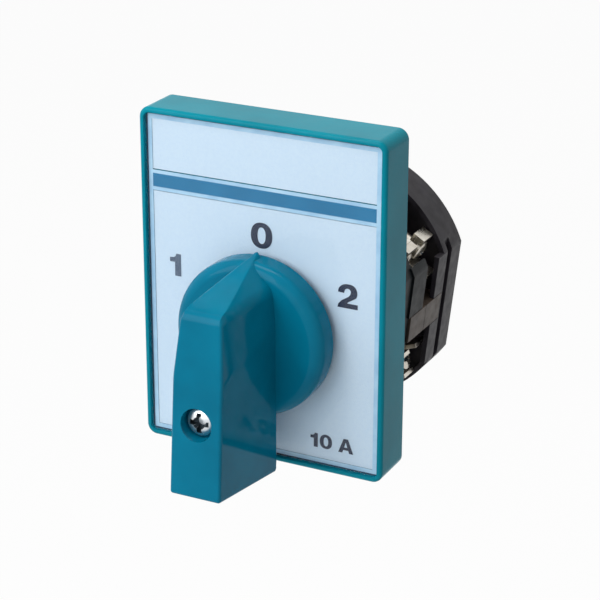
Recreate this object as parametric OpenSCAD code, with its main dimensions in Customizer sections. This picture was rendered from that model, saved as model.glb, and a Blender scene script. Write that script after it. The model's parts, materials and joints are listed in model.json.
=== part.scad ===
// Panel-mounted rotary changeover switch, three positions (1 - 0 - 2), two contact stages.
// X runs right, Y runs back through the panel, Z runs up; the origin is the shaft axis on the panel face.

/* [Escutcheon] */
// Width of the escutcheon
plate_w = 60; // [58:0.5:70]
// Height of the escutcheon
plate_h = 79.2; // [77:0.1:92]
// Depth of the escutcheon from its front rim to the panel
plate_d = 11.3; // [11:0.1:13]
// Height of the escutcheon's middle above the shaft axis
plate_rise = 8.2; // [5:0.1:9]
// Radius of its upright corners
plate_corner_r = 2.5; // [1.5:0.1:4]
// Rounding of its front edge
plate_edge_r = 0.9; // [0.4:0.1:1.1]
// Width of the coloured rim round the window
rim_w = 1.2; // [1.1:0.1:2]
// Wall of the hollow back
plate_wall = 2.2; // [1.6:0.1:3]
// Thickness of the floor behind the cards
floor_t = 2; // [1.4:0.1:3]
// Depth of the window's face below the rim
window_recess = 0.4; // [0:0.1:1]
// Thickness of the clear window
window_t = 0.8; // [0.6:0.1:1.4]
// Width of the ledge that the window lies on
ledge_w = 1.4; // [1:0.1:2]
// Thickness of a printed card
card_t = 0.3; // [0.2:0.05:0.5]
// Middle of the bar between the two cards, above the shaft axis
bar_z = 30.9; // [30:0.1:32]
// Height of that bar
bar_h = 3.1; // [2:0.1:4]
// Gap between the bar and each card
bar_gap = 1.1; // [0.6:0.1:1.4]

/* [Fixing screws] */
// Distance between the fixing screws, both ways
fixing_pitch = 36; // [35:0.5:37]
// Thread diameter of the fixing screws
fixing_d = 3; // [2.5:0.1:3.2]
// Diameter of their waist in the panel gap
fixing_waist_d = 2.5; // [2:0.1:2.6]
// Length of a fixing screw under its head
fixing_len = 16; // [15.5:0.1:16.2]
// Diameter of their heads
fixing_head_d = 5.6; // [5:0.1:5.8]
// Height of their heads
fixing_head_h = 2.4; // [1.6:0.1:2.4]

/* [Handle] */
// Radius of the handle's disc
disc_r = 18.2; // [17:0.1:20]
// Depth of the disc
disc_d = 6.5; // [6:0.1:8]
// Rounding of the disc's front edge
disc_edge_r = 2.8; // [1:0.1:3.6]
// Gap between the window and the disc
disc_gap = 0.7; // [0.4:0.1:1.5]
// Height of the lever's front top edge above the axis
lever_top = 13.2; // [11:0.1:15]
// Height of the lever's shoulders above the axis, at the disc
lever_shoulder = 13.4; // [12:0.1:14]
// Depth of the lever's front bottom edge below the axis
lever_bottom = 27.6; // [24:0.1:30]
// Distance of the lever's front top edge before the disc's face
lever_reach_top = 19.9; // [17:0.1:22]
// Distance of the lever's front bottom edge before the disc's face
lever_reach_bottom = 24; // [20:0.1:26]
// Depth of the lever's rear bottom edge below the axis
lever_heel = 30.4; // [28:0.1:33]
// Width of the lever at its front top edge
lever_w_top = 9.8; // [8:0.1:11]
// Width of the lever along its front
lever_w_front = 12.3; // [11:0.1:13]
// Width of the lever at the disc
lever_w_root = 14.6; // [14:0.1:16]
// Width of the lever across its shoulders
lever_w_shoulder = 13.2; // [12:0.1:14]
// Height of the pointer's tip above the axis
pointer_tip = 19.1; // [18.5:0.1:20.5]
// Rounding of the lever's edges
lever_edge_r = 0.8; // [0.4:0.1:1.2]
// Depth of the handle screw below the axis
grip_screw_z = 10.8; // [10.2:0.1:11.2]
// Thread diameter of the handle screw
grip_screw_d = 3; // [2.5:0.1:3.2]
// Length of the handle screw under its head
grip_screw_len = 20; // [18:0.5:22]
// Diameter of the handle screw's head
grip_head_d = 6.2; // [5.5:0.1:6.2]
// Height of the handle screw's head
grip_head_h = 2.1; // [1.8:0.1:2.4]
// Depth of the head's top below the lever's face
grip_sink = 0.6; // [0.4:0.1:2]
// Diameter of the well that the head sits in
grip_well_d = 7.5; // [7:0.1:8]

/* [Shaft] */
// Side of the square shaft
shaft_side = 6; // [5:0.1:6.2]
// Radius of the turned end of the shaft
shaft_end_r = 2.5; // [2:0.1:2.6]
// Radius of every hub that turns in a bore
hub_r = 5.5; // [5.2:0.05:5.6]
// Running clearance of a hub in its bore, on the radius
run_gap = 0.05; // [0.02:0.01:0.09]

/* [Throw] */
// Angle from position 0 to position 1 or 2
throw_deg = 60; // [60]
// Travel of a plunger over that angle
throw_lift = 1.5; // [1:0.1:1.6]

/* [Switch body] */
// Gap that the panel fills
panel_gap = 3; // [2.6:0.1:3.2]
// Radius of the round body
body_r = 30; // [29.8:0.1:31]
// Distance of the side flats from the axis
body_flat = 26.8; // [26.7:0.1:27.4]
// Angle at which the flats lean
flat_turn = 6.5; // [0:0.5:7]
// Depth of the front housing
housing_d = 7.4; // [7.2:0.1:8]
// Depth of one contact stage
stage_d = 8.7; // [8.5:0.1:9.5]
// Depth of the rear cover
cover_d = 9.2; // [8.5:0.1:11]
// Thickness of a stage's floor
stage_floor = 1.6; // [1.2:0.1:1.7]
// Depth of the groove across the flats
groove_depth = 1.4; // [0.8:0.1:2]
// Width of that groove
groove_w = 2.3; // [1:0.1:2.6]
// Distance of that groove from the last stage
groove_lead = 0.5; // [0.3:0.1:1]

/* [Contacts] */
// Middle radius of a cam
cam_r = 9; // [8.6:0.1:9.2]
// Depth of a cam
cam_d = 5.4; // [4.5:0.1:5.6]
// Gap between a cam and a plunger
cam_gap = 0.25; // [0.15:0.05:0.4]
// Width of a plunger
plunger_w = 6; // [5:0.1:6.2]
// Depth of a plunger
plunger_d = 4.6; // [4:0.1:4.8]
// Height of a plunger's shoulder above its tip
plunger_h = 6.2; // [5.8:0.1:6.6]
// Radius of the stem that carries the spring
stem_r = 1.4; // [1.1:0.1:1.6]
// Length of the stem above the shoulder
stem_h = 3.6; // [3:0.1:4]
// Half length of a contact bridge
bridge_half = 10.6; // [10.2:0.1:10.8]
// Thickness of a contact bridge
bridge_t = 1; // [0.8:0.1:1.2]
// Distance of the contact tips from the middle
tip_x = 8.6; // [8.4:0.1:8.8]
// Radius of a contact tip
tip_r = 1.5; // [1.2:0.1:1.6]
// Height of a contact tip
tip_h = 0.6; // [0.5:0.1:0.8]
// Radius of a contact spring
spring_r = 2.3; // [2.1:0.1:2.5]
// Radius of its wire
spring_wire_r = 0.3; // [0.25:0.05:0.35]
// Curls of a contact spring
spring_curls = 5; // [3:1:6]

/* [Terminals] */
// Place of a terminal screw from the axis, sideways
term_x = 19.9; // [19.6:0.1:20.1]
// Place of a terminal screw from the axis, upwards
term_z = 14.7; // [14.5:0.1:14.9]
// Angle at which a terminal screw points past sideways
term_tilt = 25; // [24:1:26]
// Width of a clamp
clamp_w = 8; // [7.6:0.1:8.2]
// Thickness of terminal metal
strip_t = 1; // [0.8:0.1:1.1]
// Depth of terminal metal
strip_d = 5.2; // [4.6:0.1:5.4]
// Reach of the clamp's inner lip
lip_long = 6.1; // [5:0.1:6.1]
// Reach of the clamp's outer lip
lip_short = 1; // [0.6:0.1:1.1]
// Thread diameter of a terminal screw
term_screw_d = 3; // [2.5:0.1:3.2]
// Diameter of its head
term_head_d = 5; // [4.4:0.1:5.2]
// Height of its head
term_head_h = 1.8; // [1.4:0.1:2]

/* [Detent] */
// Middle radius of the star wheel
star_r = 8.6; // [8.5:0.1:8.7]
// Half the height of its waves
star_wave = 0.9; // [0.7:0.1:1]
// Thickness of a leaf spring
leaf_t = 0.5; // [0.3:0.1:0.6]
// Distance of a leaf spring from the axis
leaf_x = 10.6; // [10.5:0.1:10.8]
// Half length of a leaf spring
leaf_half = 13; // [12.6:0.1:13.4]
// Radius that the stop lug reaches
lug_r = 12.4; // [11.8:0.1:12.6]
// Width of the stop lug
lug_w = 4; // [3:0.1:5]

/* [Tie screws] */
// Place of a tie screw from the axis, sideways
tie_x = 8.6; // [8.2:0.1:8.8]
// Distance of a tie screw inside the body's rim, upwards
tie_edge = 5.4; // [5.2:0.1:5.7]
// Thread diameter of a tie screw
tie_d = 3; // [2.5:0.1:3.2]
// Diameter of its head
tie_head_d = 5.6; // [5:0.1:5.8]
// Height of its head
tie_head_h = 2.2; // [1.6:0.1:2.6]

/* [Hidden] */
$fn = 64;
// Overrun of every cut past the face it opens
cut = 1;
// Room round moving pieces
free_gap = 0.6;
// Clearance between pieces that are laid together loosely
lay_gap = 0.1;
// Clearance round a screw in a plain hole, on the radius
screw_gap = 0.2;
// Clearance beside sliding pieces
slide_gap = 0.1;

// Planes along Y, from the front to the back
rim_y = -plate_d;
window_y = rim_y + window_recess;
ledge_y = window_y + window_t;
card_y = ledge_y + card_t + lay_gap;
back_y = card_y + floor_t;
disc_back_y = window_y - disc_gap;
disc_face_y = disc_back_y - disc_d;
housing_y = panel_gap;
stage_y = housing_y + housing_d;
cover_y = stage_y + 2 * stage_d;
end_y = cover_y + cover_d;
function stage_front(n) = stage_y + (n - 1) * stage_d;
function stage_deck(n) = stage_front(n) + stage_d - stage_floor;

// Window and cards, in the plane of the dial
window_w = plate_w - 2 * rim_w;
window_h = plate_h - 2 * rim_w;
window_corner_r = max(plate_corner_r - rim_w, lay_gap);
card_w = window_w - 2 * ledge_w;
card_top = plate_rise + window_h / 2 - ledge_w;
card_bottom = plate_rise - window_h / 2 + ledge_w;
dial_top = bar_z - bar_h / 2 - bar_gap;
name_bottom = bar_z + bar_h / 2 + bar_gap;

// Driver that joins the handle to the shaft
driver_hub_r = 6.4;
driver_bore_gap = 0.5;
driver_disc_r = 14;
driver_disc_d = 2.2;
driver_nose_r = 5.2;
driver_nose_d = 9;
driver_boss_r = 3.1;
driver_boss_d = 8;
driver_ring_t = 1.6;
driver_end_y = -1.2;
socket_floor_y = disc_back_y - driver_disc_d;
driver_nose_y = socket_floor_y - driver_nose_d;
boss_front_y = socket_floor_y - driver_boss_d;
shaft_front_y = driver_nose_y + 2 * lay_gap;

// Handle screw
grip_tilt_share = (lever_top + grip_screw_z) / (lever_top + lever_bottom);
grip_face_y = disc_face_y - lever_reach_top
    - (lever_reach_bottom - lever_reach_top) * grip_tilt_share;
grip_seat_y = grip_face_y + grip_sink + grip_head_h;
cross_w = 0.8;
cross_len_share = 0.62;
cross_depth_share = 0.55;

// Shaft end
clip_t = 0.8;
clip_r = 4.4;
clip_gap = 0.1;
clip_groove_d = 0.4;
clip_groove_r = shaft_end_r - clip_groove_d;
end_recess_r = 6.4;
end_recess_d = 2.6;
clip_y = end_y - end_recess_d + clip_gap;
shaft_back_y = clip_y + clip_t + 0.8 * clip_t;
square_back_y = cover_y + hub_r;

// Detent levels
housing_front_t = 1.6;
leaf_y = housing_y + housing_front_t + 3 * lay_gap;
leaf_d = 2.4;
star_back_y = leaf_y + leaf_d + slide_gap;
lug_y = star_back_y;
lug_d = 1.1;
plate_t = 1;
plate_y = stage_y - plate_t;
detent_plate_r = 19;
pocket_r = lug_r + free_gap;
leaf_flex = 2.4;
leaf_grip = 3;
nose_half = 0.6;
nose_run = 3;
nose_gap = 0.25;
nose_x = star_r - star_wave + nose_gap;
tab_reach = 2.6;
tab_r = lug_r - tab_reach;
tab_deg = 12;
stop_gap_deg = 1;
lug_half_deg = atan(lug_w / 2 / tab_r);

// Stage plan
dwell_deg = 5;
star_waves = 6;
cam_clear_r = cam_r + throw_lift + free_gap;
chamber_x = bridge_half + 2 * free_gap;
chamber_roof = 10.6;
chamber_z = body_r - chamber_roof;
well_roof = 6.2;
well_z = body_r - well_roof;
well_x = spring_r + spring_wire_r + free_gap;
post_z = 3.2;
deck_edge = 8;
deck_r = body_r - deck_edge;
tie_z = body_r - tie_edge;
barrier_t = 1.4;
guide_t = 1.9;
guide_h = 2.6;
tip_end_z = cam_r + cam_gap;
shoulder_z = tip_end_z + plunger_h;
bridge_z = shoulder_z;
tip_low_z = bridge_z - tip_h;
pad_z = tip_low_z - throw_lift - lay_gap / 2;
strip_z = pad_z - tip_h;
pad_x = tip_x - tip_r - 4 * lay_gap;
spring_low_z = bridge_z + bridge_t;
spring_high_z = well_z;
plunger_y0 = 0.9;

// Rear cover and front housing details
cover_lip_d = 4.6;
cover_rim_d = 1.5;
cover_lip_t = 1.2;
cover_lip_z = 13.5;
cheek_t = 1.4;
cheek_d = 6.5;
cheek_top = 15.2;
edge_soft = 0.6;
insert_r = 2.3;
insert_d = 5.6;
boss_wall = 1.3;
collar_wall = 1.6;
tie_seat = 3;
tie_wall = 2;
tie_front_y = housing_y + tie_wall;
tie_insert_r = 2.4;
tie_insert_d = 4;

// Colours
teal = "#1a8093";
bakelite = "#3f3833";
black_plastic = "#22282b";
brass = "#c9a24a";
nickel = "#c9c6bd";
steel = "#a8aaac";

echo(str("overall depth ", end_y - disc_face_y + lever_reach_bottom, " mm"));
echo(str("contact gap at 0 ", throw_lift + lay_gap / 2, " mm"));

// Extrudes a shape drawn in X and Z from y0 to y1.
module slab(y0, y1) {
    translate([0, y1, 0]) rotate([90, 0, 0]) linear_extrude(y1 - y0) children();
}

// Rod along Y at x, z.
module rod(x, z, r, y0, y1) {
    translate([x, 0, z]) slab(y0, y1) circle(r);
}

// Rectangle with its corners rounded by true arcs.
module round_rect(w, h, r) {
    square([w - 2 * r, h], center = true);
    square([w, h - 2 * r], center = true);
    for (sx = [-1, 1], sz = [-1, 1])
        translate([sx * (w / 2 - r), sz * (h / 2 - r)]) circle(r);
}

// Section of the escutcheon's side with its front edge rounded, drawn in width and depth.
module edge_section(w, d, r) {
    translate([0, -d]) square([w - r, d]);
    translate([0, -d + r]) square([w, d - r]);
    translate([w - r, -d + r]) circle(r);
}

// Block of width w, height h and depth d whose upright corners and front edge are rounded by true arcs.
module soft_plate(w, h, d, corner, edge) {
    slab(-d + edge, 0) round_rect(w, h, corner);
    slab(-d, 0) round_rect(w - 2 * edge, h - 2 * edge, corner - edge);
    for (sx = [0, 1])
        mirror([sx, 0, 0]) translate([0, 0, -h / 2 + corner])
            linear_extrude(h - 2 * corner) edge_section(w / 2, d, edge);
    for (turn = [90, 270])
        rotate([0, turn, 0]) translate([0, 0, -w / 2 + corner])
            linear_extrude(w - 2 * corner) edge_section(h / 2, d, edge);
    for (sx = [-1, 1], sz = [-1, 1])
        translate([sx * (w / 2 - corner), 0, sz * (h / 2 - corner)])
            rotate([90, 0, 0]) rotate_extrude() mirrored_corner(corner, d, edge);
}

// Half section of a rounded corner post, drawn in radius and height.
module mirrored_corner(corner, d, edge) {
    square([corner - edge, d]);
    square([corner, d - edge]);
    intersection() {
        translate([corner - edge, d - edge]) circle(edge);
        square([corner, d]);
    }
}

// Points of a closed curve given by its radius at every degree step.
function polar_ring(radii) = [for (i = [0:len(radii) - 1])
    let (a = i * 360 / len(radii)) [radii[i] * cos(a), radii[i] * sin(a)]];

// Radius of a cam at an angle: it rises evenly over the sweep of each plunger and rests between them.
function cam_radius(a) = let (side = abs(a > 180 ? a - 360 : a))
    cam_r + throw_lift * (min(max(side, 90 - throw_deg - dwell_deg), 90 + throw_deg + dwell_deg) - 90)
        / throw_deg;

// Outline of the round body with its two flats.
module body_outline(inset = 0) {
    intersection() {
        circle(body_r - inset, $fn = 128);
        square([2 * (body_flat - inset), 2 * body_r], center = true);
    }
}

// Turns a piece of the contact body, which leans to the right of the dial.
module turned() { rotate([0, flat_turn, 0]) children(); }

// One copy above the axis and one below it, or any other mirrored pair or group of four.
module both_sides() { for (m = [0, 1]) mirror([m, 0, 0]) children(); }
module both_ends() { for (m = [0, 1]) mirror([0, 0, m]) children(); }
module four_corners() { both_sides() both_ends() children(); }
module fixing_places() {
    for (sx = [-1, 1], sz = [-1, 1])
        translate([sx * fixing_pitch / 2, 0, sz * fixing_pitch / 2]) children();
}

// Cross recess that opens forwards at y0.
module cross_recess(head_d, head_h, y0) {
    depth = head_h * cross_depth_share;
    arm = head_d * cross_len_share;
    slab(y0 - cut, y0 + depth) {
        square([arm, cross_w], center = true);
        square([cross_w, arm], center = true);
    }
}

// Escutcheon

module plate_shell() {
    difference() {
        translate([0, 0, plate_rise]) soft_plate(plate_w, plate_h, plate_d, plate_corner_r, plate_edge_r);
        translate([0, 0, plate_rise]) slab(rim_y - cut, ledge_y)
            round_rect(window_w, window_h, window_corner_r);
        slab(ledge_y - cut, card_y) card_field(card_bottom, dial_top + bar_gap);
        slab(ledge_y - cut, card_y) card_field(name_bottom - bar_gap, card_top);
        translate([0, 0, plate_rise]) slab(back_y, cut)
            square([plate_w - 2 * plate_wall, plate_h - 2 * plate_wall], center = true);
    }
}

module card_field(low, high) {
    translate([-card_w / 2, low]) square([card_w, high - low]);
}

module escutcheon() {
    head_r = fixing_head_d / 2 + screw_gap;
    color(teal) difference() {
        union() {
            plate_shell();
            fixing_places() rod(0, 0, head_r + boss_wall, card_y, 0);
            rod(0, 0, driver_hub_r + driver_bore_gap + collar_wall, card_y, 0);
        }
        rod(0, 0, driver_hub_r + driver_bore_gap, card_y - cut, cut);
        fixing_places() {
            rod(0, 0, head_r, card_y - cut, card_y + fixing_head_h);
            rod(0, 0, fixing_d / 2 + screw_gap, card_y, cut);
        }
    }
}

module clear_window() {
    color("#dfeaf4", 0.35) difference() {
        translate([0, 0, plate_rise]) slab(window_y, ledge_y)
            round_rect(window_w - 2 * lay_gap, window_h - 2 * lay_gap, window_corner_r - lay_gap / 2);
        rod(0, 0, driver_hub_r + driver_bore_gap, window_y - cut, ledge_y + cut);
    }
}

module dial_card() {
    color("#d4e4f2") difference() {
        slab(card_y - card_t, card_y) translate([0, lay_gap])
            square_between(card_w - 2 * lay_gap, card_bottom, dial_top);
        rod(0, 0, driver_hub_r + driver_bore_gap, ledge_y - cut, card_y + cut);
    }
}

module name_card() {
    color("#dbe6f1") slab(card_y - card_t, card_y) translate([0, -lay_gap])
        square_between(card_w - 2 * lay_gap, name_bottom, card_top);
}

module square_between(w, low, high) {
    translate([-w / 2, low]) square([w, high - low]);
}

module fixing_screws() {
    seat_y = card_y + fixing_head_h;
    end = seat_y + fixing_len;
    color(nickel) fixing_places() difference() {
        union() {
            rod(0, 0, fixing_head_d / 2, card_y, seat_y);
            rod(0, 0, fixing_d / 2, card_y, 0);
            rod(0, 0, fixing_waist_d / 2, -lay_gap, panel_gap + lay_gap);
            rod(0, 0, fixing_d / 2, panel_gap, end);
        }
        cross_recess(fixing_head_d, fixing_head_h, card_y);
    }
}

// Handle

module lever_corner(x, y, z, r) {
    for (sx = [-1, 1]) translate([sx * (x - r), y, z]) sphere(r, $fn = 12);
}

module lever_form() {
    r = lever_edge_r;
    front_top_y = disc_face_y - lever_reach_top + r;
    front_low_y = disc_face_y - lever_reach_bottom + r;
    mid_z = (lever_top - lever_bottom) / 2;
    mid_y = (front_top_y + front_low_y) / 2;
    root_y = disc_face_y + r / 2;
    tip_y = disc_back_y - r;
    hull() {
        lever_corner(lever_w_top / 2, front_top_y, lever_top - r, r);
        lever_corner(lever_w_front / 2 - r / 4, mid_y, mid_z + lever_w_front / 2, r);
        lever_corner(lever_w_front / 2, front_low_y, -lever_bottom + r, r);
        lever_corner(lever_w_root / 2, root_y, -lever_heel + r / 2, r / 2);
        lever_corner(lever_w_root / 2, root_y, lever_top - lever_w_root / 2, r / 2);
        lever_corner(lever_w_shoulder / 2, root_y, lever_shoulder, r / 2);
        lever_corner(r, tip_y, pointer_tip - r / 2, r / 2);
    }
}

module disc_form() {
    rotate([90, 0, 0]) translate([0, 0, -disc_back_y]) rotate_extrude($fn = 128) {
        square([disc_r - disc_edge_r, disc_d]);
        square([disc_r, disc_d - disc_edge_r]);
        intersection() {
            translate([disc_r - disc_edge_r, disc_d - disc_edge_r]) circle(disc_edge_r);
            square([disc_r, disc_d]);
        }
    }
}

module handle() {
    color(teal) difference() {
        union() {
            disc_form();
            lever_form();
        }
        rod(0, 0, driver_disc_r + lay_gap, socket_floor_y, disc_back_y + cut);
        rod(0, 0, driver_nose_r + lay_gap, driver_nose_y - lay_gap, disc_back_y);
        rod(0, -grip_screw_z, driver_boss_r + lay_gap, boss_front_y - lay_gap, disc_back_y);
        rod(0, -grip_screw_z, grip_well_d / 2, grip_face_y - lever_reach_bottom, grip_seat_y);
        rod(0, -grip_screw_z, grip_screw_d / 2 + screw_gap, grip_seat_y - cut, disc_back_y);
    }
}

module handle_screw() {
    color(nickel) translate([0, 0, -grip_screw_z]) difference() {
        union() {
            rotate([90, 0, 0]) translate([0, 0, -grip_seat_y]) rotate_extrude() pan_head_section();
            rod(0, 0, grip_screw_d / 2, grip_seat_y - grip_head_h / 2, grip_seat_y + grip_screw_len);
        }
        cross_recess(grip_head_d, grip_head_h, grip_seat_y - grip_head_h);
    }
}

module pan_head_section() {
    soft = grip_head_h / 2;
    square([grip_head_d / 2 - soft, grip_head_h]);
    square([grip_head_d / 2, grip_head_h - soft]);
    intersection() {
        translate([grip_head_d / 2 - soft, grip_head_h - soft]) circle(soft);
        square([grip_head_d / 2, grip_head_h]);
    }
}

module handle_driver() {
    ring_r = driver_disc_r - driver_ring_t;
    color(black_plastic) difference() {
        union() {
            rod(0, 0, driver_disc_r, socket_floor_y, disc_back_y - lay_gap);
            rod(0, 0, driver_nose_r, driver_nose_y, disc_back_y - lay_gap);
            rod(0, -grip_screw_z, driver_boss_r, boss_front_y, disc_back_y - lay_gap);
            rod(0, 0, driver_hub_r, socket_floor_y, driver_end_y);
        }
        slab(driver_nose_y - cut, driver_end_y + cut) square(shaft_side, center = true);
        rod(0, -grip_screw_z, grip_screw_d / 2, boss_front_y - cut, disc_back_y + cut);
        slab(socket_floor_y + driver_ring_t, disc_back_y + cut) difference() {
            circle(ring_r);
            circle(driver_hub_r + driver_ring_t);
            translate([0, -grip_screw_z]) circle(driver_boss_r);
            square([driver_ring_t, 2 * driver_disc_r], center = true);
            square([2 * driver_disc_r, driver_ring_t], center = true);
        }
    }
}

// Shaft

module shaft() {
    color(steel) difference() {
        union() {
            slab(shaft_front_y, square_back_y) square(shaft_side, center = true);
            rod(0, 0, shaft_end_r, square_back_y - cut, shaft_back_y);
        }
        slab(clip_y, clip_y + clip_t) difference() {
            circle(shaft_end_r + cut);
            circle(clip_groove_r);
        }
    }
}

module shaft_clip() {
    color(steel) slab(clip_y, clip_y + clip_t) difference() {
        circle(clip_r);
        circle(clip_groove_r);
        translate([-clip_groove_r, -clip_r - cut]) square([2 * clip_groove_r, clip_r + cut]);
    }
}

// Front housing and detent

module leaf_room() {
    side = leaf_x + leaf_t + lay_gap / 2;
    square([2 * (side + leaf_flex), 2 * (leaf_half - leaf_grip)], center = true);
    square([2 * side, 2 * (leaf_half + lay_gap)], center = true);
}

module front_housing() {
    color(black_plastic) difference() {
        turned() {
            slab(housing_y, stage_y) body_outline(edge_soft);
            both_sides() slab(stage_y - cut, stage_y + cheek_d) cheek_plan();
        }
        rod(0, 0, hub_r + run_gap, housing_y - cut, stage_y);
        slab(housing_y + housing_front_t, stage_y + cut) leaf_room();
        rod(0, 0, pocket_r, star_back_y, stage_y + cut);
        rod(0, 0, detent_plate_r + lay_gap, plate_y, stage_y + cut);
        fixing_places() {
            rod(0, 0, fixing_d / 2 + screw_gap, housing_y - cut, stage_y);
            rod(0, 0, insert_r, stage_y - insert_d, stage_y + cut);
        }
        turned() four_corners() {
            rod(tie_x, tie_z, tie_d / 2 + screw_gap, tie_front_y, stage_y);
            rod(tie_x, tie_z, tie_insert_r, stage_y - tie_insert_d, stage_y + cut);
        }
    }
}

// Plan of the cheek that covers the upper terminals of the first stage.
module cheek_plan() {
    intersection() {
        body_outline(lay_gap);
        translate([body_flat - cheek_t - lay_gap, post_z + lay_gap])
            square([body_flat, cheek_top - post_z]);
    }
}

module housing_inserts() {
    color(brass) fixing_places() difference() {
        rod(0, 0, insert_r, stage_y - insert_d, stage_y);
        rod(0, 0, fixing_d / 2, stage_y - insert_d - cut, stage_y + cut);
    }
}

module detent_star() {
    steps = 120;
    color("#c8c4b8") difference() {
        union() {
            rod(0, 0, hub_r, housing_y, plate_y + plate_t);
            slab(leaf_y, star_back_y)
                polygon(polar_ring([for (i = [0:steps - 1])
                    star_r - star_wave * cos(i * star_waves * 360 / steps)]));
            rod(0, 0, star_r - star_wave, star_back_y - lay_gap, lug_y + lug_d);
            slab(lug_y, lug_y + lug_d) intersection() {
                circle(lug_r);
                translate([-lug_w / 2, -lug_r]) square([lug_w, lug_r]);
            }
        }
        slab(housing_y - cut, stage_y + cut) square(shaft_side, center = true);
    }
}

module leaf_plan() {
    out = leaf_x + leaf_t;
    bend = leaf_t / 2;
    polygon([
        [leaf_x, -leaf_half], [leaf_x, -nose_run], [nose_x, -nose_half], [nose_x, nose_half],
        [leaf_x, nose_run], [leaf_x, leaf_half], [out, leaf_half], [out, nose_run + bend],
        [nose_x + leaf_t, nose_half + bend], [nose_x + leaf_t, -nose_half - bend],
        [out, -nose_run - bend], [out, -leaf_half]
    ]);
}

module detent_spring_right() {
    color(steel) slab(leaf_y, leaf_y + leaf_d) leaf_plan();
}

module detent_spring_left() {
    color(steel) mirror([1, 0, 0]) slab(leaf_y, leaf_y + leaf_d) leaf_plan();
}

// Plate that closes the detent chamber; its two tabs stop the star wheel's lug.
module detent_plate() {
    tab_start = -90 + throw_deg + lug_half_deg + stop_gap_deg;
    color(steel) difference() {
        union() {
            rod(0, 0, detent_plate_r, plate_y, stage_y);
            both_sides() slab(lug_y + slide_gap, stage_y) tab_plan(tab_start);
        }
        rod(0, 0, hub_r + run_gap, plate_y - cut, stage_y + cut);
    }
}

module tab_plan(start) {
    intersection() {
        difference() {
            circle(lug_r);
            circle(tab_r);
        }
        polygon([[0, 0], 2 * lug_r * [cos(start), sin(start)],
            2 * lug_r * [cos(start + tab_deg), sin(start + tab_deg)]]);
    }
}

// Contact stages

// Free space of a stage in plan, above the axis and on the right; the rest mirrors it.
module stage_room() {
    difference() {
        union() {
            circle(cam_clear_r);
            for (sx = [0, 1], sz = [0, 1]) mirror([sx, 0]) mirror([0, sz]) {
                translate([0, post_z]) square([chamber_x, chamber_z - post_z]);
                translate([0, chamber_z - cut]) square([well_x, well_z - chamber_z + cut]);
                translate([chamber_x, strip_z - strip_t - lay_gap])
                    square([barrier_t + cut, strip_t + tip_h]);
                window_plan(chamber_x + barrier_t, post_z);
            }
        }
        for (sx = [0, 1], sz = [0, 1]) mirror([sx, 0]) mirror([0, sz]) {
            translate([plunger_w / 2 + slide_gap, cam_clear_r]) square([guide_t, guide_h]);
            translate([cam_clear_r + lay_gap, 0]) square([chamber_x, post_z]);
        }
    }
}

// Side window of a stage, open from the corner of the post to the outside.
module window_plan(x0, z0) {
    translate([x0, z0]) square([body_r, body_r]);
}

module stage_body(n) {
    y0 = stage_front(n);
    color(bakelite) turned() difference() {
        slab(y0, y0 + stage_d) body_outline();
        slab(y0 - cut, stage_deck(n)) stage_room();
        slab(stage_deck(n) - cut, y0 + stage_d + cut) difference() {
            for (sx = [0, 1], sz = [0, 1]) mirror([sx, 0]) mirror([0, sz])
                window_plan(chamber_x + barrier_t, post_z);
            circle(deck_r);
        }
        rod(0, 0, hub_r + run_gap, y0, y0 + stage_d + cut);
        four_corners() rod(tie_x, tie_z, tie_d / 2 + screw_gap, y0 - cut, y0 + stage_d + cut);
    }
}

module stage_body_1() { stage_body(1); }
module stage_body_2() { stage_body(2); }

module cam(n) {
    y0 = stage_front(n) + plunger_y0 - slide_gap;
    steps = 180;
    color("#e2ddcf") difference() {
        union() {
            turned() slab(y0, y0 + cam_d)
                polygon(polar_ring([for (i = [0:steps - 1]) cam_radius(i * 360 / steps)]));
            rod(0, 0, hub_r, y0, stage_front(n) + stage_d);
        }
        slab(y0 - cut, stage_front(n) + stage_d + cut) square(shaft_side, center = true);
    }
}

module cam_1() { cam(1); }
module cam_2() { cam(2); }

// Plunger above the axis, with a round tip on the cam and a stem for the spring.
module plunger(n) {
    y0 = stage_front(n) + plunger_y0;
    tip = plunger_w / 3;
    color("#ddd8ca") {
        slab(y0, y0 + plunger_d) {
            translate([0, tip_end_z + tip]) circle(tip);
            translate([-tip, tip_end_z + tip]) square([2 * tip, plunger_h - tip]);
            translate([-plunger_w / 2, cam_clear_r + guide_h / 4])
                square([plunger_w, shoulder_z - cam_clear_r - guide_h / 4]);
        }
        translate([0, y0 + plunger_d / 2, shoulder_z - cut]) cylinder(r = stem_r, h = stem_h + cut);
    }
}

module plunger_1_top() { turned() plunger(1); }
module plunger_1_bottom() { turned() mirror([0, 0, 1]) plunger(1); }
module plunger_2_top() { turned() plunger(2); }
module plunger_2_bottom() { turned() mirror([0, 0, 1]) plunger(2); }

module bridge(n) {
    y0 = stage_front(n) + plunger_y0;
    mid = y0 + plunger_d / 2;
    color(brass) difference() {
        union() {
            translate([-bridge_half, y0, bridge_z]) cube([2 * bridge_half, plunger_d, bridge_t]);
            for (sx = [-1, 1])
                translate([sx * tip_x, mid, tip_low_z]) cylinder(r = tip_r, h = tip_h + bridge_t / 2);
        }
        translate([0, mid, bridge_z - cut]) cylinder(r = stem_r, h = bridge_t + 2 * cut);
    }
}

module bridge_1_top() { turned() bridge(1); }
module bridge_1_bottom() { turned() mirror([0, 0, 1]) bridge(1); }
module bridge_2_top() { turned() bridge(2); }
module bridge_2_bottom() { turned() mirror([0, 0, 1]) bridge(2); }

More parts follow.
